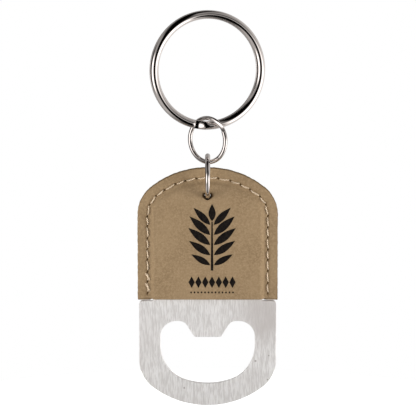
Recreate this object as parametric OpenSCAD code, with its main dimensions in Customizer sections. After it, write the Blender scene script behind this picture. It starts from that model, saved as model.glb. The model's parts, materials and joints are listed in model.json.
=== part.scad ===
// Keychain bottle opener: a steel plate in a stitched sleeve, hanging on three rings.
// Millimetres. +X is right, +Z is up, and the front faces -Y.
// The origin is the top of the key ring's inside, where the ring hangs.

/* [Key ring] */
// Outside diameter
key_od = 32.2; // [31:0.2:34]
// Width of the wire along the ring's radius
key_wire_w = 2.3; // [2.2:0.1:2.5]
// Thickness of one coil along the ring's axis
key_coil_t = 1.4; // [1.2:0.05:1.5]
// Turn about the vertical, the left half nearer
key_turn = 16; // [0:1:25]

/* [Link ring] */
// Outside diameter
link_od = 13.1; // [12.9:0.1:14]
// Width of the wire along the ring's radius
link_wire_w = 1.2; // [1:0.05:1.3]
// Thickness of one coil along the ring's axis
link_coil_t = 0.62; // [0.55:0.01:0.65]
// Turn about the vertical, the right half nearer
link_turn = 37; // [25:1:50]
// Gap between this ring and the key ring
link_play = 0.22; // [0.16:0.02:0.4]

/* [Jump ring] */
// Outside diameter
jump_od = 12.4; // [12.2:0.1:13]
// Diameter of the wire
jump_wire_d = 1.4; // [1.2:0.1:1.5]
// Gap between this ring and the link ring
jump_play = 0.3; // [0.2:0.05:1]

/* [Sleeve] */
// Width of the sleeve
sleeve_w = 38.1; // [37:0.1:40]
// Height of the sleeve
sleeve_h = 36; // [34:0.1:40]
// Thickness of one panel
panel_t = 1; // [0.8:0.05:1.1]
// Radius of the ring hole
hole_r = 1.3; // [1.3:0.05:1.6]
// Depth of the hole's centre below the sleeve's top
hole_inset = 7.5; // [7.2:0.1:7.8]
// Height of the hole's centre above the middle of the jump ring's wire
hole_play = 0.42; // [0.2:0.02:0.46]
// Distance of the seam from the edge
seam_inset = 2.7; // [2.4:0.1:3]
// Length of one stitch
stitch_pitch = 3; // [2.5:0.1:4]
// Diameter of the thread
thread_d = 0.5; // [0.4:0.02:0.55]

/* [Steel plate] */
// Width of the head
head_w = 37.4; // [36:0.1:39]
// Height of the head below the sleeve
head_h = 29; // [27:0.1:32]
// Thickness of the plate
plate_t = 1.8; // [1.5:0.1:2]
// Width of the tang inside the sleeve
tang_w = 30; // [26:0.5:30.5]

/* [Mouth] */
// Width of the mouth
mouth_w = 25.8; // [25:0.1:27]
// Depth of the lobes' tops below the head's top
mouth_top = 5.6; // [5:0.1:8]
// Height of the mouth's lowest point above the head's lowest point
mouth_rim = 6.1; // [5:0.1:7]
// Drop of the lifting tongue below the lobes' tops
tongue_drop = 4.4; // [4:0.1:5]
// Half length of the tongue's flat edge
tongue_half = 3.3; // [3:0.1:4]

/* [Hidden] */
$fn = 64;

// Rings, from the top down.
key_r_in = key_od / 2 - key_wire_w;
key_z = -key_r_in;
link_r_in = link_od / 2 - link_wire_w;
link_z = key_z - key_r_in + link_play - link_r_in;
jump_r_in = jump_od / 2 - jump_wire_d;
jump_z = link_z - link_r_in + jump_play - jump_r_in;
coil_gap = 0.06;         // between the two coils of a split ring
end_gap = 1.5;           // degrees between a coil's free end and the crossing
key_cross_at = 270;      // where the key ring's wire crosses from coil to coil
key_cross_span = 30;
link_cross_at = 60;
link_cross_span = 60;
crossing_shift = 0.6;    // a quarter of the way across, as a part of half a coil
crossing_bite = 0.35;    // how far the crossing runs into each coil
crossing_inset = 0.02;   // how much slimmer it is there
slice_t = 0.02;          // length of the thin slices that the crossing is drawn through
jump_seam = 2;           // degrees of opening between the jump ring's ends

// Sleeve and plate.
hole_z = jump_z - jump_od / 2 + jump_wire_d / 2 + hole_play;
sleeve_top = hole_z + hole_inset;
sleeve_bottom = sleeve_top - sleeve_h;
crown_r = 24.8;          // flat crown of the dome
corner_r = 9.4;          // tighter ends of the dome
foot_r = 0.4;            // square corners at a straight edge
head_gap = 0.5;          // between the sleeve's bottom and the head's shoulder
head_top = sleeve_bottom - head_gap;
head_bottom = head_top - head_h;
shoulder_r = 1;
tang_inset = 4.4;        // from the sleeve's top to the tang's top
tang_top = sleeve_top - tang_inset;
tang_root = 4;           // how far the tang's outline runs down into the head
tang_hole_r = hole_r + 0.2;
fit = 0.04;              // between pieces that lie against each other
ramp_steps = 3;          // steps of the panel's rise over the tang's edge

// Mouth.
lobe_r = 4.35;           // outer corners of the lobes
notch_r = 2.6;           // inner corners of the lobes
notch_x = 7.8;
tongue_lean = 31;        // tongue's sides from the vertical
tongue_r = 0.6;          // corners of the tongue
bowl_r = 19;             // flat bottom of the mouth
bowl_corner_r = 9.9;
lobe_z = head_top - mouth_top;
tongue_z = lobe_z - tongue_drop;
bowl_z = head_bottom + mouth_rim;

// Seam: up the left side, over the dome, and down the right side.
seam_crown_r = crown_r - seam_inset;
seam_corner_r = corner_r - seam_inset;
seam_w = sleeve_w - 2 * seam_inset;
seam_tail = 1.6;         // from the sleeve's bottom to the last hole
needle_d = 0.7;

// Points along an arc about c.
function arc(c, r, from, to, steps = 16) =
    [for (i = [0:steps]) let (a = from + (to - from) * i / steps) c + r * [cos(a), sin(a)]];

function mirrored(points) = [for (i = [len(points) - 1:-1:0]) [-points[i].x, points[i].y]];

// A dome of half width hw: a crown of radius crown, then corners of radius corner.
// Its tilt is the angle from the vertical at which one arc turns into the other.
function dome_dx(hw, corner) = hw - corner;
function dome_tilt(hw, crown, corner) = asin(dome_dx(hw, corner) / (crown - corner));
function dome_dy(hw, crown, corner) = (crown - corner) * cos(dome_tilt(hw, crown, corner));
function dome_right(hw, crown, corner, top) =
    let (tilt = dome_tilt(hw, crown, corner),
         centre = [dome_dx(hw, corner), top - crown + dome_dy(hw, crown, corner)])
    concat(arc(centre, corner, 0, 90 - tilt), arc([0, top - crown], crown, 90 - tilt, 90));

// Outline with a domed top and a straight bottom.
module domed(width, crown, corner, top, bottom, foot) {
    right = concat(arc([width / 2 - foot, bottom + foot], foot, -90, 0, 6),
                   dome_right(width / 2, crown, corner, top));
    polygon(concat(right, mirrored(right)));
}

// Outline drawn in X and Z, given a thickness between two Y values.
module slab(front, back)
    translate([0, back, 0]) rotate([90, 0, 0]) linear_extrude(back - front) children();

module y_hole(x, z, r, front, back)
    translate([x, back, z]) rotate([90, 0, 0]) cylinder(r = r, h = back - front);

module sleeve_outline() domed(sleeve_w, crown_r, corner_r, sleeve_top, sleeve_bottom, foot_r);

// The tang's outline, grown all round by the given amount.
module tang_outline(grow, bottom)
    domed(tang_w + 2 * grow, crown_r - tang_inset + grow, corner_r - tang_inset + grow,
          tang_top + grow, bottom, foot_r);

module head_outline()
    mirror([0, 1]) domed(head_w, crown_r, corner_r, -head_bottom, -head_top, shoulder_r);

module mouth_outline() {
    half = mouth_w / 2;
    tilt = dome_tilt(half, bowl_r, bowl_corner_r);
    bowl_corner = [dome_dx(half, bowl_corner_r),
                   bowl_z + bowl_r - dome_dy(half, bowl_r, bowl_corner_r)];
    right = concat(arc([0, bowl_z + bowl_r], bowl_r, 270, 270 + tilt),
                   arc(bowl_corner, bowl_corner_r, 270 + tilt, 360),
                   arc([half - lobe_r, lobe_z - lobe_r], lobe_r, 0, 90),
                   arc([notch_x, lobe_z - notch_r], notch_r, 90, 180 - tongue_lean),
                   arc([tongue_half, tongue_z + tongue_r], tongue_r, 360 - tongue_lean, 270, 6));
    polygon(concat(right, mirrored(right)));
}

module opener_plate() color([0.80, 0.79, 0.77]) difference() {
    union() {
        slab(-plate_t / 2, plate_t / 2) head_outline();
        slab(-plate_t / 2, plate_t / 2) tang_outline(0, head_top - tang_root);
    }
    slab(-plate_t, plate_t) mouth_outline();
    y_hole(0, hole_z, tang_hole_r, -plate_t, plate_t);
}

// Front panel: flat along the seam, raised over the tang, and hollow for the tang.
module panel() difference() {
    union() {
        slab(-panel_t, 0) sleeve_outline();
        for (i = [1:ramp_steps])
            slab(-panel_t - plate_t / 2 * i / ramp_steps, 0)
                tang_outline(panel_t * (1 - (i - 1) / ramp_steps), sleeve_bottom);
    }
    slab(-plate_t / 2 - fit, 1) tang_outline(fit, head_top - tang_root);
    y_hole(0, hole_z, hole_r, -3 * panel_t, panel_t);
    for (p = seam_holes) y_hole(p.x, p.y, needle_d / 2, -3 * panel_t, panel_t);
}

module front_panel() color([0.61, 0.51, 0.39]) panel();
module back_panel() color([0.61, 0.51, 0.39]) mirror([0, 1, 0]) panel();

// Needle holes at an even spacing along the seam. s runs from the left end to the right end.
seam_tilt = dome_tilt(seam_w / 2, seam_crown_r, seam_corner_r);
seam_dx = dome_dx(seam_w / 2, seam_corner_r);
seam_crown_z = sleeve_top - seam_inset - seam_crown_r;
seam_corner_z = seam_crown_z + dome_dy(seam_w / 2, seam_crown_r, seam_corner_r);
side_len = seam_corner_z - sleeve_bottom - seam_tail;
corner_len = seam_corner_r * (90 - seam_tilt) * PI / 180;
crown_half = seam_crown_r * seam_tilt * PI / 180;
seam_half = side_len + corner_len + crown_half;

// A place at distance s from the seam's middle, on its right half.
function seam_right(s) =
    s < crown_half ?
        [0, seam_crown_z] + seam_crown_r * [sin(s / seam_crown_r * 180 / PI),
                                            cos(s / seam_crown_r * 180 / PI)] :
    s < crown_half + corner_len ?
        let (a = seam_tilt + (s - crown_half) / seam_corner_r * 180 / PI)
        [seam_dx, seam_corner_z] + seam_corner_r * [sin(a), cos(a)] :
        [seam_w / 2, seam_corner_z - (s - crown_half - corner_len)];
function seam_place(s) =
    let (p = seam_right(abs(s))) s < 0 ? [-p.x, p.y] : p;
stitches = round(2 * seam_half / stitch_pitch);
seam_holes = [for (i = [0:stitches]) seam_place(-seam_half + 2 * seam_half * i / stitches)];

// One thread of the lockstitch: stitches on the panel's face and a leg down each needle hole.
module thread() {
    lie = -panel_t - thread_d / 2 - fit;
    for (p = seam_holes) y_hole(p.x, p.y, thread_d / 2 + fit, lie - thread_d / 2 - fit, -fit);
    for (i = [1:len(seam_holes) - 1]) {
        step = seam_holes[i] - seam_holes[i - 1];
        translate([seam_holes[i - 1].x, lie, seam_holes[i - 1].y])
            rotate([0, atan2(step.x, step.y), 0]) cylinder(d = thread_d, h = norm(step));
    }
}

module front_thread() color([0.88, 0.80, 0.68]) thread();
module back_thread() color([0.88, 0.80, 0.68]) mirror([0, 1, 0]) thread();

// Ring lying in X and Z about the origin, its front coil towards -Y.
module upright(z, turn)
    translate([0, 0, z]) rotate([0, 0, turn]) rotate([90, 0, 0]) children();

// Section of one coil: a round wire ground flat where it meets the other coil.
module coil_section(w, t, side, inset = 0) intersection() {
    translate([0, side * (t - w / 2)]) circle(d = w - 2 * inset);
    translate([-w, side > 0 ? coil_gap / 2 + inset : -2 * w])
        square([2 * w, 2 * w - coil_gap / 2 - inset]);
}

// Section part way through the crossing, where the wire lies between the two coils.
module crossing_section(w, t, shift) translate([0, shift * t / 2]) intersection() {
    circle(d = w);
    square([2 * w, t - coil_gap], center = true);
}

module wire_slice(r, angle)
    rotate([0, 0, angle]) translate([r, slice_t / 2, 0]) rotate([90, 0, 0])
        linear_extrude(slice_t) children();

// Wire between two slices of the crossing. Its children are the two sections.
module wire_step(r, from, to) hull() {
    wire_slice(r, from) children(0);
    wire_slice(r, to) children(1);
}

// Split ring: two coils side by side, joined where the wire crosses from front to back.
module split_ring(od, w, t, cross_at, cross_span) {
    r = (od - w) / 2;
    first = cross_at + cross_span / 2;
    last = cross_at - cross_span / 2;
    sweep = 360 - cross_span - end_gap;
    bite = crossing_bite / r * 180 / PI;
    rotate([0, 0, first]) rotate_extrude(angle = sweep) translate([r, 0]) coil_section(w, t, 1);
    rotate([0, 0, first + end_gap]) rotate_extrude(angle = sweep)
        translate([r, 0]) coil_section(w, t, -1);
    wire_step(r, first + bite, cross_at + cross_span / 4) {
        coil_section(w, t, 1, crossing_inset);
        crossing_section(w, t, crossing_shift);
    }
    wire_step(r, cross_at + cross_span / 4, cross_at) {
        crossing_section(w, t, crossing_shift);
        crossing_section(w, t, 0);
    }
    wire_step(r, cross_at, cross_at - cross_span / 4) {
        crossing_section(w, t, 0);
        crossing_section(w, t, -crossing_shift);
    }
    wire_step(r, cross_at - cross_span / 4, last - bite) {
        crossing_section(w, t, -crossing_shift);
        coil_section(w, t, -1, crossing_inset);
    }
}

module key_ring() color([0.78, 0.77, 0.75])
    upright(key_z, key_turn) split_ring(key_od, key_wire_w, key_coil_t, key_cross_at, key_cross_span);

module link_ring() color([0.78, 0.77, 0.75])
    upright(link_z, -link_turn)
        split_ring(link_od, link_wire_w, link_coil_t, link_cross_at, link_cross_span);

// Round wire seen edge-on from the front, its ends meeting behind the sleeve.
module jump_ring() color([0.78, 0.77, 0.75])
    upright(jump_z, 90) rotate([0, 0, jump_seam / 2]) rotate_extrude(angle = 360 - jump_seam)
        translate([(jump_od - jump_wire_d) / 2, 0]) circle(d = jump_wire_d);

opener_plate();
front_panel();
back_panel();
front_thread();
back_thread();
jump_ring();
link_ring();
key_ring();
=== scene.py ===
"""Looks of the keychain bottle opener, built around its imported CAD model. Lengths are in metres."""
import json
import math

import bmesh
import bpy
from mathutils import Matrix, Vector, noise
from mathutils.geometry import delaunay_2d_cdt


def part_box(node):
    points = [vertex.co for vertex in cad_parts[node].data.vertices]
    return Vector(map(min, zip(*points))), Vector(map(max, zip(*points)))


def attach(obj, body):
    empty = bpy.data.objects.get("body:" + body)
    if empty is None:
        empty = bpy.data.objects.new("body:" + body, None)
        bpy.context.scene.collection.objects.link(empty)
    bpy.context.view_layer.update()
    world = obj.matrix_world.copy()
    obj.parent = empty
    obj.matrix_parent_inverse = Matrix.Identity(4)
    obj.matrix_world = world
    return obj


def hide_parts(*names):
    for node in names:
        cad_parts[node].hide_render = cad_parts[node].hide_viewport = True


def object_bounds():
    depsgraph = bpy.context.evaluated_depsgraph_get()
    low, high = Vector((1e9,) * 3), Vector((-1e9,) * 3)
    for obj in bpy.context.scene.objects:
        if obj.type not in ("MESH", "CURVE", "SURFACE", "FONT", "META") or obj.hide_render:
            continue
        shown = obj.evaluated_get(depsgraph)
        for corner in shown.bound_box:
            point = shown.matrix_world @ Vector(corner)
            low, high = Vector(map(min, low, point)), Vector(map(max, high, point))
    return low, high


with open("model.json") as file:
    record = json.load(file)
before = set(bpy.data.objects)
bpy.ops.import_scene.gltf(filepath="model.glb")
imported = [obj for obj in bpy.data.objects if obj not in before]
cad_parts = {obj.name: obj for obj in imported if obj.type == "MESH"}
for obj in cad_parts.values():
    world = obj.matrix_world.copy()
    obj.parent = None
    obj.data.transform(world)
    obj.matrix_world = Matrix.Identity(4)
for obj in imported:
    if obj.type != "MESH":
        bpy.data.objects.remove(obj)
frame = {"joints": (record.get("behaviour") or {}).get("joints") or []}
cad_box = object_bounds()

MM = 0.001

# ---------------------------------------------------------------- sizes, from the frame where it has them

joints = {j["name"]: j for j in frame["joints"]}
sleeve_lo, sleeve_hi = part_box("front_panel")
plate_lo, plate_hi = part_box("opener_plate")

SLEEVE_HALF = sleeve_hi.x
SLEEVE_TOP = sleeve_hi.z
SLEEVE_BOTTOM = sleeve_lo.z
PLATE_HALF = plate_hi.x
PLATE_BOTTOM = plate_lo.z
PLATE_T = plate_hi.y - plate_lo.y
PANEL_T = -sleeve_lo.y - PLATE_T / 2

CROWN_R = 24.8 * MM          # crown of the dome, on sleeve and plate alike
CORNER_R = 9.4 * MM          # its tighter ends
TANG_HALF = 15 * MM
TANG_INSET = 4.4 * MM        # from the sleeve's top to the tang's top
HEAD_TOP = SLEEVE_BOTTOM - 0.5 * MM
SHOULDER_R = 1 * MM
HOLE_Z = SLEEVE_TOP - 7.5 * MM
HOLE_R = 1.3 * MM
TANG_HOLE_R = HOLE_R + 0.2 * MM
HOLE_SIDES = 40
SEAM_INSET = 2.7 * MM
SEAM_TAIL = 1.6 * MM         # from the sleeve's bottom to the last needle hole
STITCH = 3 * MM


# ---------------------------------------------------------------- outlines

def arc(centre, radius, start, end, steps):
    """Points along an arc in X and Z, angles in degrees."""
    points = []
    for i in range(steps + 1):
        a = math.radians(start + (end - start) * i / steps)
        points.append((centre[0] + radius * math.cos(a), centre[1] + radius * math.sin(a)))
    return points


def mirrored(points):
    """The same points on the other side of X = 0, in reverse order."""
    return [(-x, z) for x, z in reversed(points)]


def no_doubles(points):
    """A closed outline without points that repeat the one before."""
    kept = []
    for p in points:
        if not kept or math.dist(p, kept[-1]) > 1e-7:
            kept.append(p)
    if math.dist(kept[0], kept[-1]) < 1e-7:
        kept.pop()
    return kept


class Dome:
    """A dome of two radii above straight sides, shrunk by an inset."""

    def __init__(self, half, top, inset=0.0, crown=CROWN_R, corner=CORNER_R):
        self.half, self.crown, self.corner = half - inset, crown - inset, corner - inset
        self.crown_z = top - crown
        self.dx = half - corner
        self.tilt = math.asin(self.dx / (crown - corner))
        self.corner_z = self.crown_z + (crown - corner) * math.cos(self.tilt)
        self.crown_len = self.crown * self.tilt
        self.corner_len = self.corner * (math.pi / 2 - self.tilt)

    def place(self, s):
        """The point at distance s along the dome from its middle, to the right or, below 0, to the left."""
        t = abs(s)
        if t < self.crown_len:
            a = t / self.crown
            x, z = self.crown * math.sin(a), self.crown_z + self.crown * math.cos(a)
        elif t < self.crown_len + self.corner_len:
            a = self.tilt + (t - self.crown_len) / self.corner
            x, z = self.dx + self.corner * math.sin(a), self.corner_z + self.corner * math.cos(a)
        else:
            x, z = self.half, self.corner_z - (t - self.crown_len - self.corner_len)
        return (math.copysign(x, s), z)

    def reach(self, z_end):
        """Length from the dome's middle to the height z_end on its straight side."""
        return self.crown_len + self.corner_len + self.corner_z - z_end

    def depth(self, x, z):
        """How far the point lies inside the outline, the straight bottom left out."""
        x = abs(x)
        if z < self.corner_z:
            return self.half - x
        if math.atan2(x, z - self.crown_z) < self.tilt:
            return self.crown - math.hypot(x, z - self.crown_z)
        return self.corner - math.hypot(x - self.dx, z - self.corner_z)

    def row(self, z_end, spacing):
        """Points along the outline from the left side's z_end over the dome to the right side's."""
        reach = self.reach(z_end)
        count = max(2, round(2 * reach / spacing))
        return [self.place(-reach + 2 * reach * i / count) for i in range(count + 1)]


SLEEVE = Dome(SLEEVE_HALF, SLEEVE_TOP)
SEAM = Dome(SLEEVE_HALF, SLEEVE_TOP, SEAM_INSET)
SEAM_REACH = SEAM.reach(SLEEVE_BOTTOM + SEAM_TAIL)
STITCHES = round(2 * SEAM_REACH / STITCH)


def smooth(t):
    """0 to 1 with level ends."""
    t = min(1.0, max(0.0, t))
    return t * t * (3 - 2 * t)


# ---------------------------------------------------------------- camera, light and floor

CENTRE = Vector((0.1 * MM, 0, -51.26 * MM))      # where the camera looks
DISTANCE = 0.6
ELEVATION = math.radians(7)
FRAME_WIDTH = 113 * MM       # what the picture spans at the object

camera = bpy.data.objects.new("camera", bpy.data.cameras.new("camera"))
bpy.context.scene.collection.objects.link(camera)
away = Vector((0, -math.cos(ELEVATION), math.sin(ELEVATION)))
camera.location = CENTRE + away * DISTANCE
camera.rotation_mode = "QUATERNION"
camera.rotation_quaternion = (-away).to_track_quat("-Z", "Y")
camera.data.sensor_width = 36
camera.data.lens = 36 * DISTANCE / FRAME_WIDTH
camera.data.clip_start = 0.01
bpy.context.scene.camera = camera
bpy.context.scene.view_settings.view_transform = "Standard"


def node(tree, kind, inputs=None, **settings):
    """A shader node with its settings, and inputs as numbers or as other nodes' sockets."""
    made = tree.nodes.new(kind)
    for name, value in settings.items():
        setattr(made, name, value)
    for name, value in (inputs or {}).items():
        if isinstance(value, bpy.types.NodeSocket):
            tree.links.new(value, made.inputs[name])
        else:
            made.inputs[name].default_value = value
    return made


def maths(tree, operation, *values):
    """Result of an arithmetic node."""
    return node(tree, "ShaderNodeMath", dict(enumerate(values)), operation=operation).outputs[0]


def ramp(tree, value, low, high, out_low=0.0, out_high=1.0):
    """value from low to high, mapped smoothly to out_low to out_high and held there."""
    made = node(tree, "ShaderNodeMapRange", {"Value": value, "From Min": low, "From Max": high,
                                             "To Min": out_low, "To Max": out_high},
                interpolation_type="SMOOTHSTEP")
    return made.outputs["Result"]


def mix(tree, factor, first, second):
    """Colour between first and second."""
    made = node(tree, "ShaderNodeMix", data_type="RGBA")
    for index, value in ((0, factor), (6, first), (7, second)):
        if isinstance(value, bpy.types.NodeSocket):
            tree.links.new(value, made.inputs[index])
        else:
            made.inputs[index].default_value = value
    return made.outputs[2]


def direction(azimuth, elevation):
    """Unit vector towards a place on the sky, seen from the object. Azimuth 0 is towards the camera."""
    a, e = math.radians(azimuth), math.radians(elevation)
    return Vector((math.sin(a) * math.cos(e), -math.cos(a) * math.cos(e), math.sin(e)))


WALLS = 0.33                 # brightness of the surroundings where nothing else is said
STUDIO_COLOUR = (1, 0.965, 0.94, 1)
# Azimuth, elevation, inner and outer radius in degrees, and the brightness added.
GLOWS = [
    (-46, -6, 12, 27, 1.6),
    (58, -22, 16, 36, 1.4),
    (125, 2, 25, 60, 0.25),
    (110, -38, 25, 60, 0.35),
    (-60, -40, 15, 45, 0.18),
]
# Azimuth, elevation, inner and outer radius in degrees, and the part of the brightness left.
DARK_PATCHES = [
    (-70, 82, 20, 46, 0.01),
    (-94, 2, 16, 38, 0.16),
    (40, 20, 6, 18, 0.25),
    (0, -90, 12, 36, 0.30),
]
SLIT_TOP, SLIT_FOOT = (-5, 35), (17, -30)        # azimuth and elevation of two places on its middle
SLIT_HALF, SLIT_EDGE = 22, 4                     # half width and softness in degrees
SLIT_LEVEL = 0.003


def make_world():
    """What the object reflects: dim surroundings with glows, dark patches and a wide dark slit up the
    front. The camera itself sees plain white."""
    world = bpy.data.worlds.new("studio")
    bpy.context.scene.world = world
    world.use_nodes = True
    tree = world.node_tree
    tree.nodes.clear()
    coords = node(tree, "ShaderNodeTexCoord").outputs["Generated"]

    def along(axis):
        product = node(tree, "ShaderNodeVectorMath", {0: coords, 1: axis}, operation="DOT_PRODUCT")
        return product.outputs["Value"]

    light = WALLS
    for azimuth, elevation, inner, outer, gain in GLOWS:
        glow = ramp(tree, along(direction(azimuth, elevation)), math.cos(math.radians(outer)),
                    math.cos(math.radians(inner)), 0.0, gain)
        light = maths(tree, "ADD", light, glow)
    for azimuth, elevation, inner, outer, level in DARK_PATCHES:
        shade = ramp(tree, along(direction(azimuth, elevation)), math.cos(math.radians(outer)),
                     math.cos(math.radians(inner)), 1.0, level)
        light = maths(tree, "MULTIPLY", light, shade)
    top, foot = direction(*SLIT_TOP), direction(*SLIT_FOOT)
    off = maths(tree, "ABSOLUTE", along(top.cross(foot).normalized()))
    slit = ramp(tree, off, math.sin(math.radians(SLIT_HALF - SLIT_EDGE)),
                math.sin(math.radians(SLIT_HALF + SLIT_EDGE)), SLIT_LEVEL, 1.0)
    in_front = ramp(tree, along((top + foot).normalized()), 0.25, 0.45)
    slit = maths(tree, "ADD", maths(tree, "MULTIPLY", slit, in_front),
                 maths(tree, "SUBTRACT", 1.0, in_front))
    light = maths(tree, "MULTIPLY", light, slit)
    studio = node(tree, "ShaderNodeBackground", {"Color": STUDIO_COLOUR})
    tree.links.new(light, studio.inputs["Strength"])
    white = node(tree, "ShaderNodeBackground", {"Color": (1, 1, 1, 1), "Strength": 1.0})
    seen = node(tree, "ShaderNodeLightPath").outputs["Is Camera Ray"]
    both = node(tree, "ShaderNodeMixShader", {0: seen, 1: studio.outputs[0], 2: white.outputs[0]})
    out = node(tree, "ShaderNodeOutputWorld")
    tree.links.new(both.outputs[0], out.inputs["Surface"])


LIGHT_DISTANCE, LIGHT_SIZE = 0.7, 0.4


def soft_light(name, azimuth, elevation, power):
    """A square softbox aimed at the object, which doesn't show in reflections."""
    data = bpy.data.lights.new(name, "AREA")
    data.shape = "SQUARE"
    data.size = LIGHT_SIZE
    data.energy = power
    lamp = bpy.data.objects.new(name, data)
    bpy.context.scene.collection.objects.link(lamp)
    towards = direction(azimuth, elevation)
    lamp.location = CENTRE + towards * LIGHT_DISTANCE
    lamp.rotation_mode = "QUATERNION"
    lamp.rotation_quaternion = towards.to_track_quat("Z", "Y")
    lamp.visible_camera = False
    lamp.visible_glossy = False


FLOOR_R, FLOOR_DROP, FLOOR_SIDES = 120 * MM, 14 * MM, 96


def make_floor():
    """A pale round floor a little below the object. The camera sees it glow plain white, and reflections
    leave it out."""
    z = cad_box[0].z - FLOOR_DROP
    mesh = bpy.data.meshes.new("floor")
    rim = [(FLOOR_R * math.cos(a), FLOOR_R * math.sin(a), z)
           for a in (2 * math.pi * i / FLOOR_SIDES for i in range(FLOOR_SIDES))]
    mesh.from_pydata(rim, [], [tuple(range(FLOOR_SIDES))])
    floor = bpy.data.objects.new("floor", mesh)
    bpy.context.scene.collection.objects.link(floor)
    material = bpy.data.materials.new("floor")
    material.use_nodes = True
    tree = material.node_tree
    shader = tree.nodes["Principled BSDF"]
    shader.inputs["Base Color"].default_value = (0.7, 0.7, 0.695, 1)
    shader.inputs["Roughness"].default_value = 0.9
    shader.inputs["Emission Color"].default_value = (1, 1, 1, 1)
    seen = node(tree, "ShaderNodeLightPath").outputs["Is Camera Ray"]
    tree.links.new(seen, shader.inputs["Emission Strength"])
    mesh.materials.append(material)
    floor.visible_glossy = False


make_world()
soft_light("key_light", -68, 4, 4.1)
soft_light("fill_light", 68, 0, 4.4)
soft_light("back_light", 180, 35, 2.6)
make_floor()


# ---------------------------------------------------------------- materials

LEATHER_DEEP = (0.262, 0.178, 0.096, 1)
LEATHER_LIGHT = (0.400, 0.284, 0.164, 1)
# Dark brown of the burnt cut edges, also used as painted shade in the needle slits and at the ring hole's
# sides.
BURN_AND_SHADE_COLOUR = (0.135, 0.082, 0.033, 1)


def new_material(name):
    """A material with its node tree, its shader and the piece's own coordinates."""
    material = bpy.data.materials.new(name)
    material.use_nodes = True
    tree = material.node_tree
    shader = tree.nodes["Principled BSDF"]
    coords = node(tree, "ShaderNodeTexCoord").outputs["Object"]
    return material, tree, shader, coords


def stretched(tree, coords, x, y, z):
    """Coordinates scaled by the number of features per metre along each axis."""
    return node(tree, "ShaderNodeMapping", {"Vector": coords, "Scale": (x, y, z)}).outputs[0]


def noise_of(tree, coords, scale, detail=4.0, roughness=0.6):
    return node(tree, "ShaderNodeTexNoise", {"Vector": coords, "Scale": scale, "Detail": detail,
                                             "Roughness": roughness}).outputs["Fac"]


def bumped(tree, shader, *layers):
    """Adds bump layers (height, strength, distance in metres) to the shader."""
    normal = None
    for height, strength, distance in layers:
        inputs = {"Height": height, "Strength": strength, "Distance": distance}
        if normal is not None:
            inputs["Normal"] = normal
        normal = node(tree, "ShaderNodeBump", inputs).outputs[0]
    tree.links.new(normal, shader.inputs["Normal"])


def make_nickel():
    """Bright plate with faint scuffs that follow no direction."""
    material, tree, shader, coords = new_material("nickel")
    cloud = noise_of(tree, coords, 260, 3)
    scuff = noise_of(tree, coords, 2600, 5, 0.7)
    colour = mix(tree, cloud, (0.90, 0.86, 0.84, 1), (0.80, 0.75, 0.725, 1))
    tree.links.new(colour, shader.inputs["Base Color"])
    tree.links.new(ramp(tree, scuff, 0.35, 0.75, 0.02, 0.07), shader.inputs["Roughness"])
    shader.inputs["Metallic"].default_value = 1.0
    bumped(tree, shader, (scuff, 0.01, 0.02 * MM), (cloud, 0.04, 0.1 * MM))
    return material


# Dark spots on the steel's front: x, z and radius in mm.
NICKS = [
    (13.1, -93.3, 0.40),
    (16.7, -91.8, 0.28),
    (16.4, -98.5, 0.30),
    (-6.4, -100.8, 0.34),
    (-12.2, -84.6, 0.22),
]
NICK_COLOUR = (0.36, 0.31, 0.29, 1)
# A painted reflection: around this place the steel's upper right corner is painted darker, in this colour.
DARK_REFLECTION_PLACE = (PLATE_HALF - 3 * MM, -PLATE_T / 2, HEAD_TOP - 4 * MM)
DARK_REFLECTION_COLOUR = (0.66, 0.62, 0.60, 1)


def make_brushed_steel():
    """Stainless steel brushed along its length, with clouds, a darker painted reflection at its upper right
    corner, and a few nicks.
    """
    material, tree, shader, coords = new_material("brushed_steel")
    fine = noise_of(tree, stretched(tree, coords, 4200, 4200, 420), 1.0, 3, 0.6)
    broad = noise_of(tree, stretched(tree, coords, 1300, 1300, 90), 1.0, 3, 0.6)
    cloud = noise_of(tree, coords, 75, 3, 0.5)
    streaks = maths(tree, "ADD", maths(tree, "MULTIPLY", fine, 0.72),
                    maths(tree, "MULTIPLY", broad, 0.28))
    light = mix(tree, ramp(tree, streaks, 0.42, 0.58), (0.79, 0.77, 0.755, 1), (1.0, 0.99, 0.98, 1))
    clouded = mix(tree, ramp(tree, cloud, 0.40, 0.75, 0.0, 0.35), light, (0.78, 0.745, 0.73, 1))
    place = node(tree, "ShaderNodeVectorMath", {0: coords, 1: DARK_REFLECTION_PLACE}, operation="DISTANCE")
    # Painted reflection: darker towards the upper right corner, made uneven by the clouds.
    dark_reflection = ramp(tree, place.outputs["Value"], 3 * MM, 11 * MM, 0.75, 0.0)
    uneven = maths(tree, "MULTIPLY", dark_reflection, ramp(tree, cloud, 0.2, 0.6, 0.4, 1.0))
    reflection_and_nicks = mix(tree, uneven, clouded, DARK_REFLECTION_COLOUR)
    for x, z, radius in NICKS:
        away = node(tree, "ShaderNodeVectorMath", {0: coords, 1: (x * MM, -PLATE_T / 2, z * MM)},
                    operation="DISTANCE").outputs["Value"]
        spot = ramp(tree, away, radius * MM / 2, radius * MM, 0.6, 0.0)
        reflection_and_nicks = mix(tree, spot, reflection_and_nicks, NICK_COLOUR)
    tree.links.new(reflection_and_nicks, shader.inputs["Base Color"])
    tree.links.new(ramp(tree, streaks, 0.3, 0.7, 0.52, 0.62), shader.inputs["Roughness"])
    shader.inputs["Metallic"].default_value = 0.35
    bumped(tree, shader, (fine, 0.10, 0.02 * MM), (broad, 0.06, 0.03 * MM))
    return material


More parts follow.
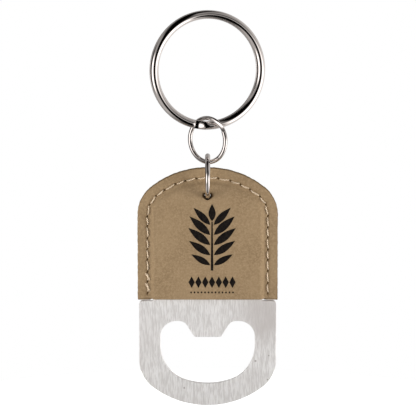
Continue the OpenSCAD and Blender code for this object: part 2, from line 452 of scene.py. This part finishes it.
def make_leatherette():
    """Matt tan leatherette: mottled grain, burnt cut edges, and painted shade in the needle holes and at the
    ring hole's sides.
    """
    material, tree, shader, coords = new_material("leatherette")
    grain = noise_of(tree, coords, 3600, 3, 0.65)
    mottle = noise_of(tree, coords, 1700, 3, 0.6)
    cloud = noise_of(tree, coords, 110, 3, 0.55)
    base = mix(tree, ramp(tree, mottle, 0.3, 0.7), LEATHER_DEEP, LEATHER_LIGHT)
    grained = mix(tree, ramp(tree, grain, 0.38, 0.62, 0.0, 0.7), base, LEATHER_DEEP)
    clouded = mix(tree, ramp(tree, cloud, 0.3, 0.7, 0.0, 0.35), grained, LEATHER_LIGHT)
    # The attribute read here darkens the burnt cut edges and paints shade into the needle slits and at the
    # ring hole's sides.
    burn_and_shade = node(tree, "ShaderNodeAttribute", attribute_name="burn_and_shade").outputs["Fac"]
    ragged = maths(tree, "ADD", burn_and_shade, maths(tree, "MULTIPLY", maths(tree, "SUBTRACT", mottle, 0.5), 0.5))
    final = mix(tree, ramp(tree, ragged, 0.25, 0.80, 0.0, 0.95), clouded, BURN_AND_SHADE_COLOUR)
    tree.links.new(final, shader.inputs["Base Color"])
    tree.links.new(ramp(tree, grain, 0.3, 0.7, 0.62, 0.80), shader.inputs["Roughness"])
    shader.inputs["Specular IOR Level"].default_value = 0.35
    bumped(tree, shader, (grain, 0.25, 0.05 * MM), (mottle, 0.30, 0.08 * MM))
    return material


def make_thread():
    """Cream thread, with painted shade between its plies."""
    material, tree, shader, coords = new_material("thread")
    fibre = noise_of(tree, coords, 5200, 3, 0.7)
    groove = node(tree, "ShaderNodeAttribute", attribute_name="groove").outputs["Fac"]
    base = mix(tree, ramp(tree, fibre, 0.3, 0.7), (0.88, 0.69, 0.48, 1), (1.0, 0.86, 0.66, 1))
    # Painted shade: darker where the groove between the plies is deeper.
    final = mix(tree, ramp(tree, groove, 0.2, 1.0, 0.0, 0.85), base, (0.30, 0.20, 0.11, 1))
    tree.links.new(final, shader.inputs["Base Color"])
    tree.links.new(ramp(tree, fibre, 0.3, 0.7, 0.65, 0.85), shader.inputs["Roughness"])
    shader.inputs["Sheen Weight"].default_value = 0.15
    bumped(tree, shader, (fibre, 0.3, 0.04 * MM))
    return material


def make_ink():
    """Matt dark print with a fine grain."""
    material, tree, shader, coords = new_material("ink")
    grain = noise_of(tree, coords, 2400, 3, 0.65)
    colour = mix(tree, ramp(tree, grain, 0.35, 0.75), (0.006, 0.005, 0.005, 1), (0.020, 0.016, 0.013, 1))
    tree.links.new(colour, shader.inputs["Base Color"])
    tree.links.new(ramp(tree, grain, 0.3, 0.7, 0.65, 0.85), shader.inputs["Roughness"])
    shader.inputs["Specular IOR Level"].default_value = 0.05
    bumped(tree, shader, (grain, 0.3, 0.06 * MM))
    return material


NICKEL = make_nickel()
STEEL = make_brushed_steel()
LEATHER = make_leatherette()
THREAD = make_thread()
INK = make_ink()


# ---------------------------------------------------------------- mesh helpers

def add_piece(name, mesh, material, body, replaced=None):
    """Puts a mesh in the scene as a piece of the object that rides on a CAD body."""
    mesh.materials.append(material)
    piece = bpy.data.objects.new(name, mesh)
    bpy.context.scene.collection.objects.link(piece)
    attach(piece, body)
    if replaced:
        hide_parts(replaced)


def sweep(loops):
    """Vertices and faces of a tube through loops of points, its ends closed with a fan each."""
    size = len(loops[0])
    verts = [p for loop in loops for p in loop]
    faces = []
    for i in range(len(loops) - 1):
        a, b = i * size, (i + 1) * size
        faces += [(a + k, a + (k + 1) % size, b + (k + 1) % size, b + k) for k in range(size)]
    for start, flip in ((0, True), ((len(loops) - 1) * size, False)):
        centre = sum((Vector(p) for p in verts[start:start + size]), Vector()) / size
        verts.append(centre)
        tip = len(verts) - 1
        for k in range(size):
            edge = (start + k, start + (k + 1) % size)
            faces.append((*reversed(edge), tip) if flip else (*edge, tip))
    return verts, faces


def mesh_of(name, verts, faces, smooth_faces=True):
    """A mesh whose faces all look outwards."""
    mesh = bpy.data.meshes.new(name)
    mesh.from_pydata(verts, [], faces)
    work = bmesh.new()
    work.from_mesh(mesh)
    bmesh.ops.recalc_face_normals(work, faces=work.faces)
    work.to_mesh(mesh)
    work.free()
    for face in mesh.polygons:
        face.use_smooth = smooth_faces
    return mesh


# ---------------------------------------------------------------- rings

COIL_GAP = 0.06 * MM
COIL_SIDES = 28
COIL_SOFTEN = 0.1 * MM       # rounding where a coil's flat begins
CROSSING_BULGE = 0.8         # thickness of the crossing, as a part of its width
END_GAP = 1.5                # degrees between a coil's free end and the crossing
END_STEPS = [0.02, 0.08, 0.2, 0.38, 0.62]        # places along a rounded end, as parts of its length
END_TIP = 0.12               # size of the section at the very end, as a part of the whole


def frange(start, end, step):
    """Evenly spaced values from start down to end, no further apart than step."""
    count = math.ceil((start - end) / step)
    return [start + (end - start) * i / count for i in range(count + 1)]


def ring_axes(joint):
    """Centre, front, right and up of a ring whose own axis is the joint's."""
    front = Vector(joint["axis"]).normalized()
    return Vector(joint["pos_m"]), front, Vector((-front.y, front.x, 0)), Vector((0, 0, 1))


def coil_section(width, half, shift, scale):
    """Points (along the radius, along the axis) of one coil's section. shift is 1 on the front coil, -1 on
    the back coil. Each coil is a round wire with a flat where it meets the other, oval where it crosses."""
    points = []
    for k in range(COIL_SIDES):
        a = 2 * math.pi * k / COIL_SIDES
        radial = width / 2 * math.cos(a)
        axial = width / 2 * math.sin(a) - shift * (width / 2 - half)
        for side in (1, -1):
            if width / 2 - side * shift * (width / 2 - half) > half + COIL_SOFTEN / 4:
                over = max(0.0, COIL_SOFTEN - abs(side * axial - half)) / COIL_SOFTEN
                axial = side * (min(side * axial, half) - over * over * COIL_SOFTEN / 4)
        axial += (CROSSING_BULGE * width / 2 * math.sin(a) - axial) * (1 - abs(shift))
        points.append((radial * scale, axial * scale))
    return points


def split_ring(name, joint, node_name, width, coil_t, cross_at, cross_span, step):
    """Two coils side by side, the wire crossing from the front coil to the back one."""
    lo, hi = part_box(node_name)
    centre, front, right, up = ring_axes(joint)
    middle = (hi.z - lo.z) / 2 - width / 2
    half = coil_t / 2 - COIL_GAP / 4
    first, last = cross_at + cross_span / 2, cross_at - cross_span / 2
    start, end = last + 360 - END_GAP, first - 360 + END_GAP
    cap_turn = math.degrees(half / middle)
    turns = [start, end] + frange(start, end, step)[1:-1]
    turns += [start - cap_turn * f for f in END_STEPS]
    turns += [end + cap_turn * f for f in END_STEPS]
    turns = sorted(set(turns), reverse=True)
    loops = []
    for turn in turns:
        shift = 1 - 2 * smooth((first - turn) / cross_span)
        near_end = min(start - turn, turn - end) / cap_turn
        scale = 1.0 if near_end >= 1 else max(END_TIP, math.sqrt(1 - (1 - near_end) ** 2))
        a = math.radians(turn)
        out = right * math.cos(a) + up * math.sin(a)
        spine = centre + out * middle + front * shift * (coil_t / 2 + COIL_GAP / 4)
        loops.append([spine + out * r + front * y for r, y in coil_section(width, half, shift, scale)])
    verts, faces = sweep(loops)
    return mesh_of(name, verts, faces)


KEY_WIRE_W, KEY_COIL_T = 2.3 * MM, 1.4 * MM
KEY_CROSSING, KEY_CROSSING_SPAN, KEY_STEP = 264, 12, 1.5         # degrees round the ring
LINK_WIRE_W, LINK_COIL_T = 1.2 * MM, 0.62 * MM
LINK_CROSSING, LINK_CROSSING_SPAN, LINK_STEP = 60, 60, 3

key_mesh = split_ring("key_ring_wire", joints["key_ring_turn"], "key_ring", KEY_WIRE_W, KEY_COIL_T,
                      KEY_CROSSING, KEY_CROSSING_SPAN, KEY_STEP)
add_piece("key_ring_wire", key_mesh, NICKEL, "key_ring", "key_ring")

link_mesh = split_ring("link_ring_wire", joints["jump_ring_swing"], "link_ring", LINK_WIRE_W,
                       LINK_COIL_T, LINK_CROSSING, LINK_CROSSING_SPAN, LINK_STEP)
add_piece("link_ring_wire", link_mesh, NICKEL, "link_ring", "link_ring")


JUMP_SEAM = 1.0              # degrees from the ring's back to each of the wire's ends
JUMP_STEP, JUMP_SIDES = 3, 24
JUMP_END = 0.9               # size of the wire's end, as a part of its thickness


def jump_ring():
    """Round wire, its two ends meeting behind the sleeve."""
    lo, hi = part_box("jump_ring")
    wire = hi.x - lo.x
    middle = (hi.z - lo.z - wire) / 2
    centre = Vector(joints["opener_fold"]["pos_m"])
    loops = []
    for turn in frange(360 - JUMP_SEAM, JUMP_SEAM, JUMP_STEP):
        a = math.radians(turn)
        out = Vector((0, math.cos(a), math.sin(a)))
        tip = min(360 - JUMP_SEAM - turn, turn - JUMP_SEAM)
        scale = JUMP_END if tip < 0.01 else 1.0
        loop = []
        for k in range(JUMP_SIDES):
            b = 2 * math.pi * k / JUMP_SIDES
            loop.append(centre + out * (middle + wire / 2 * scale * math.cos(b))
                        + Vector((wire / 2 * scale * math.sin(b), 0, 0)))
        loops.append(loop)
    verts, faces = sweep(loops)
    return mesh_of("jump_ring_wire", verts, faces)


add_piece("jump_ring_wire", jump_ring(), NICKEL, "jump_ring", "jump_ring")


# ---------------------------------------------------------------- steel plate

PLATE_BEVEL = 0.16 * MM
MOUTH_HALF = 12.9 * MM
MOUTH_TOP = HEAD_TOP - 5.6 * MM
MOUTH_BOTTOM = PLATE_BOTTOM + 6.1 * MM
TONGUE_Z = MOUTH_TOP - 4.4 * MM
TONGUE_HALF = 3.3 * MM
TONGUE_LEAN = 31
LOBE_R, NOTCH_R, TONGUE_R = 4.35 * MM, 2.6 * MM, 0.6 * MM
NOTCH_X = 7.8 * MM
BOWL_R, BOWL_CORNER_R = 19 * MM, 9.9 * MM


def plate_outline():
    """Head and tang: the dome turned upside down, square shoulders and the tang's own dome."""
    dome = Dome(PLATE_HALF, 0)
    bottom = [(x, PLATE_BOTTOM - z) for x, z in dome.row(dome.corner_z, 0.3 * MM) if x >= 0]
    shoulder = arc((PLATE_HALF - SHOULDER_R, HEAD_TOP - SHOULDER_R), SHOULDER_R, 0, 90, 8)
    tang = Dome(TANG_HALF, SLEEVE_TOP - TANG_INSET, 0, CROWN_R - TANG_INSET, CORNER_R - TANG_INSET)
    side = [p for p in reversed(tang.row(HEAD_TOP, 0.5 * MM)) if p[0] >= 0]
    right = bottom + shoulder + side
    return no_doubles(right + mirrored(right))


def mouth_outline():
    """The bowl below, a lobe each side of the tongue above."""
    bowl = Dome(MOUTH_HALF, 0, 0, BOWL_R, BOWL_CORNER_R)
    right = [(x, MOUTH_BOTTOM - z) for x, z in bowl.row(bowl.corner_z, 0.25 * MM) if x >= 0]
    right += arc((MOUTH_HALF - LOBE_R, MOUTH_TOP - LOBE_R), LOBE_R, 0, 90, 20)
    right += arc((NOTCH_X, MOUTH_TOP - NOTCH_R), NOTCH_R, 90, 180 - TONGUE_LEAN, 12)
    right += arc((TONGUE_HALF, TONGUE_Z + TONGUE_R), TONGUE_R, 360 - TONGUE_LEAN, 270, 6)
    return no_doubles(right + mirrored(right))


def opener_plate():
    """A flat curve with rounded edges, turned into a mesh that stands upright."""
    curve = bpy.data.curves.new("opener_plate_steel", "CURVE")
    curve.dimensions = "2D"
    curve.fill_mode = "BOTH"
    curve.extrude = PLATE_T / 2 - PLATE_BEVEL
    curve.bevel_depth = PLATE_BEVEL
    curve.bevel_resolution = 2
    curve.offset = -PLATE_BEVEL
    hole = arc((0, HOLE_Z), TANG_HOLE_R, 0, 360, HOLE_SIDES)
    for outline in (plate_outline(), mouth_outline(), no_doubles(hole)):
        spline = curve.splines.new("POLY")
        spline.points.add(len(outline) - 1)
        for point, (x, z) in zip(spline.points, outline):
            point.co = (x, z, 0, 1)
        spline.use_cyclic_u = True
    holder = bpy.data.objects.new("plate_curve", curve)
    bpy.context.scene.collection.objects.link(holder)
    mesh = bpy.data.meshes.new_from_object(holder.evaluated_get(bpy.context.evaluated_depsgraph_get()))
    bpy.data.objects.remove(holder)
    work = bmesh.new()
    work.from_mesh(mesh)
    for v in work.verts:
        v.co = Vector((v.co.x, -v.co.z, v.co.y))
    bmesh.ops.remove_doubles(work, verts=work.verts, dist=1e-7)
    bmesh.ops.recalc_face_normals(work, faces=work.faces)
    for face in work.faces:
        face.smooth = abs(face.normal.y) < 0.999
    work.to_mesh(mesh)
    work.free()
    mesh.materials.clear()
    return mesh


add_piece("opener_plate_steel", opener_plate(), STEEL, "opener", "opener_plate")


# ---------------------------------------------------------------- sleeve

EDGE_R = 0.28 * MM           # rounding of the panels' cut edge
EDGE_BURN = 0.2 * MM         # width of its burnt line
RISE_FROM, RISE_TO = 3.3 * MM, 4.9 * MM          # depths between which the face rises over the tang
POCKET_FROM, POCKET_RISE = 3.1 * MM, 0.8 * MM    # depth where the tang's pocket begins, and its slope's width
TANG_SLACK = 0.02 * MM
# The jump ring's wire passes 0.03 mm clear of the narrowed hole, so it can't be narrowed further.
HOLE_NARROWING = 0.40


def needle_slits():
    """The needle's slanted slits along the seam: each one's place and direction."""
    slits = []
    for i in range(STITCHES + 1):
        wander = 0.22 * MM * math.sin(2.4 * i) if 0 < i < STITCHES else 0
        s = -SEAM_REACH + 2 * SEAM_REACH * i / STITCHES + wander
        here, ahead = Vector(SEAM.place(s)), Vector(SEAM.place(s + 0.01 * MM))
        seam = (ahead - here).normalized()
        inward = Vector((seam.y, -seam.x))
        slits.append((here, (0.92 * seam + 0.39 * inward).normalized()))
    return slits


SLITS = needle_slits()
NEEDLE_LEN, NEEDLE_WIDTH = 0.50 * MM, 0.25 * MM


def in_slit(x, z, growth=1.0):
    """1 at the middle of a needle slit, falling to 0 round it."""
    deepest = 0.0
    for here, slit in SLITS:
        dx, dz = x - here.x, z - here.y
        if dx * dx + dz * dz < MM * MM:
            u = (dx * slit.x + dz * slit.y) / (NEEDLE_LEN * growth)
            v = (dx * slit.y - dz * slit.x) / (NEEDLE_WIDTH * growth)
            deepest = max(deepest, math.exp(-u * u - v * v))
    return deepest


def outer_height(x, z):
    """Distance of the panel's face from the sleeve's middle plane."""
    depth, above = SLEEVE.depth(x, z), z - SLEEVE_BOTTOM
    height = PANEL_T + PLATE_T / 2 * smooth((depth - RISE_FROM) / (RISE_TO - RISE_FROM))
    for d, r in ((depth, EDGE_R), (above, EDGE_R / 2)):
        if d < r:
            height -= r - math.sqrt(max(0.0, r * r - (r - d) ** 2))
    height -= 0.10 * MM * math.exp(-((depth - SEAM_INSET) / (0.4 * MM)) ** 2)
    height -= 0.34 * MM * in_slit(x, z)
    away = math.hypot(x, z - HOLE_Z)
    height -= 0.16 * MM * math.exp(-((away - HOLE_R) / (0.18 * MM)) ** 2) * (x / away) ** 2
    height += 0.015 * MM * noise.noise(Vector((x, z, 0)) * 220)
    return height


def inner_height(x, z):
    """Distance of the panel's back from the middle plane, clear of the tang."""
    depth = SLEEVE.depth(x, z)
    return TANG_SLACK + PLATE_T / 2 * smooth((depth - POCKET_FROM) / POCKET_RISE)


EDGE_PITCH, ROW_PITCH, GRID_PITCH = 0.3 * MM, 0.33 * MM, 0.5 * MM
FOOT_PITCH = 0.35                                # along the bottom edge, in mm
GRID_FROM = 5.3 * MM         # depth from which the rows give way to the grid
ROW_DEPTHS = [0.05, 0.12, 0.2, 0.32, 0.55, 0.85, 1.2, 1.55, 1.85, 2.1, 2.3, 2.45, 2.6, 2.7, 2.8, 2.95,
              3.1, 3.3, 3.5, 3.7, 3.9, 4.1, 4.3, 4.5, 4.7, 4.9, 5.15]     # in mm
FOOT_RISES = [0.05, 0.12]                        # rows above the bottom edge, in mm
HOLE_GROWTHS = [0.08, 0.18, 0.32, 0.5]           # rings round the ring hole, in mm
NEEDLE_RINGS = [0.1, 0.2, 0.3, 0.42, 0.56]       # rings round each needle slit, in mm


def sheet_points():
    """Boundary loops of the panel, and the points inside it: rows along its edges and round its holes, a
    grid elsewhere."""
    side = SLEEVE.row(SLEEVE_BOTTOM, EDGE_PITCH)
    foot_count = round(2 * SLEEVE_HALF / (FOOT_PITCH * MM))
    foot = [(SLEEVE_HALF - 2 * SLEEVE_HALF * i / foot_count, SLEEVE_BOTTOM) for i in range(1, foot_count)]
    outline = side + foot
    hole = no_doubles(arc((0, HOLE_Z), HOLE_R, 0, 360, HOLE_SIDES))
    inside = []
    for depth in ROW_DEPTHS:
        dome = Dome(SLEEVE_HALF, SLEEVE_TOP, depth * MM)
        inside += dome.row(SLEEVE_BOTTOM + EDGE_PITCH, ROW_PITCH)
    rows = round((SLEEVE_TOP - SLEEVE_BOTTOM) / GRID_PITCH)
    cols = round(SLEEVE_HALF / GRID_PITCH)
    for r in range(1, rows):
        for c in range(-cols, cols + 1):
            p = ((c + 0.5 * (r % 2)) * GRID_PITCH, SLEEVE_BOTTOM + r * GRID_PITCH)
            if SLEEVE.depth(*p) > GRID_FROM and math.hypot(p[0], p[1] - HOLE_Z) > HOLE_R + 0.7 * MM:
                inside.append(p)
    for c in range(-foot_count, foot_count + 1):
        x = c * FOOT_PITCH * MM
        inside += [(x, SLEEVE_BOTTOM + rise * MM) for rise in FOOT_RISES
                   if abs(x) < SLEEVE_HALF - 0.05 * MM]
    for growth in HOLE_GROWTHS:
        inside += arc((0, HOLE_Z), HOLE_R + growth * MM, 0, 351, 39)
    for here, _ in SLITS:
        for radius in NEEDLE_RINGS:
            inside += arc(here, radius * MM, 0, 330, 11)
    return outline, hole, inside


def thin_out(fixed, loose, gap):
    """The loose points that lie no nearer than gap to a fixed or an earlier point."""
    cells = {}

    def near(p):
        cx, cz = int(p[0] // gap), int(p[1] // gap)
        return any(math.dist(p, q) < gap for i in (-1, 0, 1) for j in (-1, 0, 1)
                   for q in cells.get((cx + i, cz + j), ()))

    def keep(p):
        cells.setdefault((int(p[0] // gap), int(p[1] // gap)), []).append(p)

    for p in fixed:
        keep(p)
    kept = []
    for p in loose:
        if not near(p):
            keep(p)
            kept.append(p)
    return kept


def in_panel(x, z):
    """Whether the point lies on the panel and not in its ring hole."""
    return (SLEEVE.depth(x, z) > 0 and z > SLEEVE_BOTTOM
            and math.hypot(x, z - HOLE_Z) > HOLE_R * 0.999)


def flat_sheet():
    """The panel laid out flat: points and triangles."""
    outline, hole, inside = sheet_points()
    inside = thin_out(outline + hole, inside[::-1], 0.06 * MM)
    inside = [p for p in inside if in_panel(*p)]
    points = outline + hole + inside
    edges = [(i, (i + 1) % len(outline)) for i in range(len(outline))]
    edges += [(len(outline) + i, len(outline) + (i + 1) % len(hole)) for i in range(len(hole))]
    scaled = [Vector((x / MM, z / MM)) for x, z in points]
    verts, _, faces, _, _, _ = delaunay_2d_cdt(scaled, edges, [], 0, 1e-6)
    flat = [(v.x * MM, v.y * MM) for v in verts]
    kept = []
    for face in faces:
        cx = sum(flat[i][0] for i in face) / 3
        cz = sum(flat[i][1] for i in face) / 3
        if in_panel(cx, cz):
            kept.append(tuple(face))
    return flat, kept


SHEET = flat_sheet()


def boundary_edges(faces):
    """Edges that belong to one triangle only."""
    seen = {}
    for face in faces:
        for a, b in zip(face, face[1:] + face[:1]):
            key = (min(a, b), max(a, b))
            seen[key] = None if key in seen else (a, b)
    return [edge for edge in seen.values() if edge]


def lifted(x, z, side):
    """Height of a point: beyond the tang the front panel's bottom edge stands a little higher and the
    back one's a little lower."""
    beyond = smooth((abs(x) - TANG_HALF + 0.6 * MM) / (1.2 * MM))
    change = 0.15 * MM if side < 0 else -0.32 * MM
    return z + change * beyond * (1 - smooth((z - SLEEVE_BOTTOM) / (2 * MM)))


def drawn_in(x, z):
    """Place in the panel's back, where the ring hole is narrower at its sides and top, but hardly at its
    foot."""
    near = 1 - smooth((math.hypot(x, z - HOLE_Z) - HOLE_R) / (0.8 * MM))
    rise = 0.42 if z > HOLE_Z else 0.04
    return x * (1 - HOLE_NARROWING * near), HOLE_Z + (z - HOLE_Z) * (1 - rise * near)


def ragged(x, z):
    """Shift of a point near the cut edge, which isn't quite clean. This noise has no seed, so each run
    draws another edge, moved by no more than 0.09 mm each way."""
    near = 1 - smooth(SLEEVE.depth(x, z) / (0.5 * MM))
    shift = noise.noise_vector(Vector((x, z, 0)) * 1300) * 0.09 * MM * near
    return shift.x, shift.y


def edge_darkening(x, z):
    """How strongly the edge is darkened: fully along the top and the right side, least down the left side."""
    return max(0.15, smooth((z - SLEEVE_TOP) / (9 * MM) + 1.7), smooth((x + 6 * MM) / (12 * MM)))


def panel(name, side):
    """A leatherette panel, side -1 in front and 1 behind."""
    flat, faces = SHEET
    count = len(flat)
    cut = [ragged(x, z) for x, z in flat]
    verts = [(x + dx, side * outer_height(x, z), lifted(x, z, side) + dz)
             for (x, z), (dx, dz) in zip(flat, cut)]
    for (x, z), (dx, dz) in zip(flat, cut):
        back_x, back_z = drawn_in(x, lifted(x, z, side))
        verts.append((back_x + dx, side * inner_height(x, z), back_z + dz))
    made = list(faces) + [tuple(count + i for i in reversed(face)) for face in faces]
    made += [(b, a, count + a, count + b) for a, b in boundary_edges(faces)]
    mesh = mesh_of(name, verts, made)
    burn_and_shade = mesh.attributes.new("burn_and_shade", "FLOAT", "POINT")
    # Darkening per point: the burnt cut edge, and painted shade in the needle slits and at the ring hole's
    # sides.
    for i, (x, z) in enumerate(flat):
        depth = SLEEVE.depth(x, z)
        edge = math.exp(-(depth / EDGE_BURN) ** 2) * edge_darkening(x, z)
        away = math.hypot(x, z - HOLE_Z)
        # Painted shade: the rim at the ring hole's left and right sides is painted dark, like the shadowed
        # inside of the hole.
        rim = math.exp(-((away - HOLE_R) / (0.14 * MM)) ** 2) * (x / away) ** 2
        # Painted shade: the needle slits are painted dark, as the inside of a hole would be shaded.
        burn_and_shade.data[i].value = max(edge, in_slit(x, z, 1.1), 0.8 * rim)
        burn_and_shade.data[count + i].value = max(float(depth < 0.5 * MM) * edge_darkening(x, z), 0.8 * rim)
    return mesh


add_piece("front_panel_leather", panel("front_panel_leather", -1), LEATHER, "opener",
          "front_panel")
add_piece("back_panel_leather", panel("back_panel_leather", 1), LEATHER, "opener",
          "back_panel")


# ---------------------------------------------------------------- thread

THREAD_R = 0.21 * MM
TWIST = 1.5 * MM             # length of one turn of the plies
PLIES = 2
STRAND_SIDES = 14
STITCH_STEPS = 30
BACK_TACK = 0.45 * MM        # sideways shift of the doubled stitches' ends


def strand(path):
    """Tube of twisted plies along a path, with how deep each point lies between the plies."""
    loops, grooves = [], []
    length = 0.0
    for i, p in enumerate(path):
        ahead = path[min(i + 1, len(path) - 1)] - path[max(i - 1, 0)]
        length += (p - path[i - 1]).length if i else 0.0
        body = 0.5 + 0.5 * math.sin(math.pi * i / (len(path) - 1)) ** 0.6
        along = ahead.normalized()
        side = along.cross(Vector((0, 1, 0))).normalized()
        out = side.cross(along)
        loop = []
        for k in range(STRAND_SIDES):
            a = 2 * math.pi * k / STRAND_SIDES
            groove = 0.5 - 0.5 * math.cos(PLIES * (a - 2 * math.pi * length / TWIST))
            r = THREAD_R * body * (1 - 0.45 * groove)
            loop.append(p + side * r * math.cos(a) + out * r * math.sin(a))
            grooves.append(groove)
        loops.append(loop)
    verts, faces = sweep(loops)
    return verts, faces, grooves + [0.0, 0.0]


def stitch_path(a, b, side, shift=0.0):
    """From place a to place b: up out of one slit, slanting along the face and down into the other."""
    along = (b - a).normalized()
    inward = Vector((along.y, -along.x))
    points = []
    for i in range(STITCH_STEPS + 1):
        t = i / STITCH_STEPS
        lie = min(1.0, 2.6 * math.sin(math.pi * t)) ** 0.7
        depth = PANEL_T - 0.36 * MM + 0.42 * MM * lie
        slant = (0.10 - 0.26 * t + 0.10 * math.sin(math.pi * t)) * MM + shift * math.cos(math.pi * t)
        p = a.lerp(b, 0.13 + 0.76 * t) + inward * slant
        points.append(Vector((p.x, side * depth, p.y)))
    return points


def seam_thread(name, side):
    """All the stitches seen on one side, the first two doubled where the seam was started."""
    verts, faces, grooves = [], [], []
    places = [here for here, _ in SLITS]
    paths = [stitch_path(places[i], places[i + 1], side) for i in range(STITCHES)]
    paths += [stitch_path(places[i], places[i + 1], side, BACK_TACK) for i in range(2)]
    for path in paths:
        v, f, g = strand(path)
        faces += [tuple(len(verts) + i for i in face) for face in f]
        verts += v
        grooves += g
    mesh = mesh_of(name, verts, faces)
    groove = mesh.attributes.new("groove", "FLOAT", "POINT")
    for i, value in enumerate(grooves):
        groove.data[i].value = value
    return mesh


add_piece("front_thread_seam", seam_thread("front_thread_seam", -1), THREAD, "opener",
          "front_thread")
add_piece("back_thread_seam", seam_thread("back_thread_seam", 1), THREAD, "opener",
          "back_thread")


# ---------------------------------------------------------------- emblem

INK_LIFT, INK_DEPTH = 0.03 * MM, 0.06 * MM       # above the leatherette's face and into it
EMBLEM_X = 1.2 * MM
STEM_FOOT, STEM_HEAD = SLEEVE_TOP - 28 * MM, SLEEVE_TOP - 14.6 * MM
STEM_HALF = 0.34 * MM
LEAF_GAP = 0.14 * MM
LEAF_SIZES = [0.86, 1.0, 1.0, 0.92, 0.78]
BAND_Z, DOTS_Z = SLEEVE_TOP - 31.2 * MM, SLEEVE_TOP - 34 * MM


def leaf(x, z, length, width, lean):
    """Outline of a pointed leaf from (x, z), leaning that many degrees from upright."""
    a = math.radians(lean)
    along, across = Vector((math.sin(a), math.cos(a))), Vector((math.cos(a), -math.sin(a)))
    half = [(i / 10, width / 2 * math.sin(math.pi * (i / 10) ** 0.85)) for i in range(1, 10)]
    base = Vector((x, z))
    right = [base + along * length * t + across * w for t, w in half]
    left = [base + along * length * t - across * w for t, w in reversed(half)]
    return [base] + right + [base + along * length] + left


def diamond(x, z, half_width, half_height):
    """Outline of a diamond about (x, z)."""
    return [Vector((x, z + half_height)), Vector((x + half_width, z)),
            Vector((x, z - half_height)), Vector((x - half_width, z))]


def emblem():
    """A sprig of leaves above a row of diamonds and a row of small ones, printed as a thin layer."""
    shapes = [leaf(0, STEM_HEAD + LEAF_GAP, 4.7 * MM, 1.9 * MM, 0)]
    for i, size in enumerate(LEAF_SIZES):
        z = STEM_HEAD - (0.9 + 2.75 * i) * MM
        for side in (1, -1):
            shapes.append(leaf(side * (STEM_HALF + LEAF_GAP), z, 7.6 * MM * size, 2.15 * MM * size,
                               side * (44 + 4 * i)))
    shapes.append([Vector((-STEM_HALF, STEM_FOOT)), Vector((STEM_HALF, STEM_FOOT)),
                   Vector((STEM_HALF / 2, STEM_HEAD)), Vector((-STEM_HALF / 2, STEM_HEAD))])
    for i in range(-3, 4):
        shapes.append(diamond(1.85 * MM * i, BAND_Z, 0.85 * MM, 1.6 * MM))
    for i in range(-6, 7):
        shapes.append(diamond(0.95 * MM * i, DOTS_Z, 0.27 * MM, 0.32 * MM))
    shapes = [[Vector((p.x + EMBLEM_X, p.y)) for p in shape] for shape in shapes]
    verts, faces = [], []
    face_y = -(PANEL_T + PLATE_T / 2)
    for shape in shapes:
        size, first = len(shape), len(verts)
        verts += [(p.x, face_y - INK_LIFT, p.y) for p in shape]
        verts += [(p.x, face_y + INK_DEPTH, p.y) for p in shape]
        faces.append(tuple(range(first, first + size)))
        faces.append(tuple(range(first + 2 * size - 1, first + size - 1, -1)))
        for k in range(size):
            n = (k + 1) % size
            faces.append((first + n, first + k, first + size + k, first + size + n))
    return mesh_of("front_emblem_print", verts, faces, False)


add_piece("front_emblem_print", emblem(), INK, "opener")
